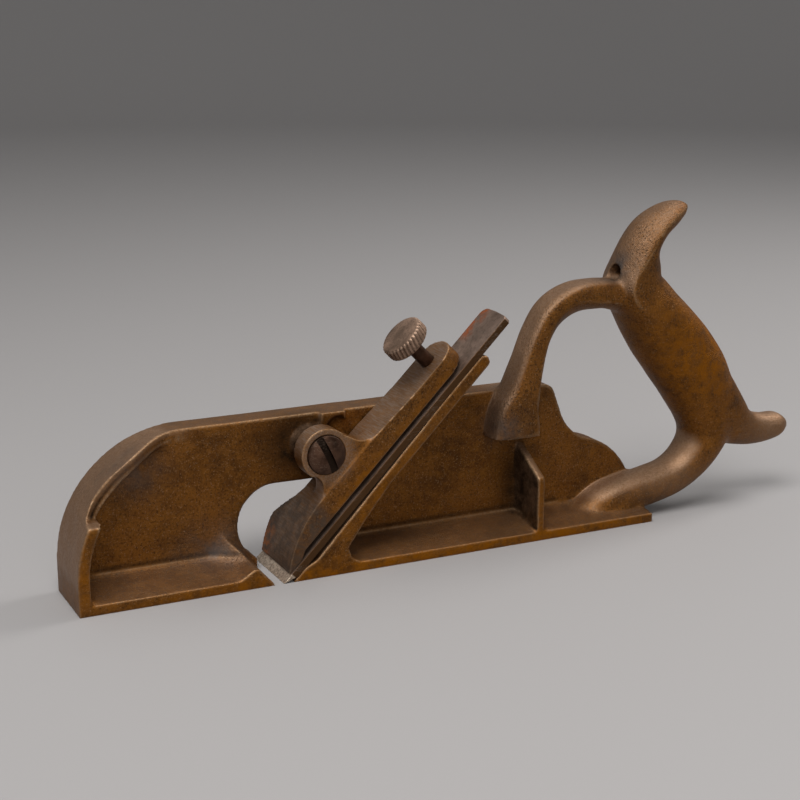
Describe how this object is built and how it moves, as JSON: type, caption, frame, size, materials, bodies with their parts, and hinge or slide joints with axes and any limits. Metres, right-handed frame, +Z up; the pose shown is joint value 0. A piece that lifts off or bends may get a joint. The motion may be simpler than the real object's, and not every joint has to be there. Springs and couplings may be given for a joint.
{
  "type": "hand plane",
  "caption": "Cast bronze rabbet plane with a flat sole and side wall, an iron under a tilting lever cap with a thumb screw, and a horned handle cast in one with the body.",
  "frame": {"origin": "centre of the sole's underside, where it rests on the work", "axes": "+X from the toe to the heel, +Y from the open side to the flat side wall, +Z up"},
  "size_m": [0.2679, 0.0265, 0.11],
  "materials": {
    "cast_bronze": "aged bronze casting, brown, worn bright on its edges",
    "cap_bronze": "aged bronze casting, file-marked on its back",
    "tool_steel": "grey-brown tool steel, bright at the ground edge, rust-stained at the top",
    "screw_steel": "dark browned steel",
    "thumb_screw_brass": "dull pink-brown brass, knurled rim"
  },
  "bodies": {
    "body": {"body_casting": "cast_bronze", "cap_screw": "screw_steel"},
    "iron": {"iron": "tool_steel"},
    "lever_cap": {"lever_cap": "cap_bronze"},
    "thumb_screw_stem": {"thumb_screw_stem": "thumb_screw_brass"},
    "thumb_screw_head": {"thumb_screw_head": "thumb_screw_brass"}
  },
  "joints": [
    {"name": "iron_slide", "type": "slide", "parent": "body", "child": "iron", "axis": [0.7071, 0, 0.7071], "range_m": [-0.001, 0.006]},
    {"name": "lever_cap_tilt", "type": "hinge", "parent": "body", "child": "lever_cap", "pos_m": [-0.02104, -0.0047, 0.03988], "axis": [0, 1, 0], "range_deg": [0, 1.51]},
    {"name": "thumb_screw_travel", "type": "slide", "parent": "lever_cap", "child": "thumb_screw_stem", "axis": [-0.7071, 0, 0.7071], "range_m": [0, 0.00128]},
    {"name": "thumb_screw_turn", "type": "hinge", "parent": "thumb_screw_stem", "child": "thumb_screw_head", "pos_m": [0.02436, -0.0047, 0.05756], "axis": [-0.7071, 0, 0.7071], "range_deg": [0, 432]}
  ],
  "couplings": [
    {"joint": "thumb_screw_travel", "follows": "thumb_screw_turn", "m_per_rad": 0.00016839},
    {"joint": "lever_cap_tilt", "follows": "thumb_screw_turn", "ratio": 0.0034722}
  ]
}
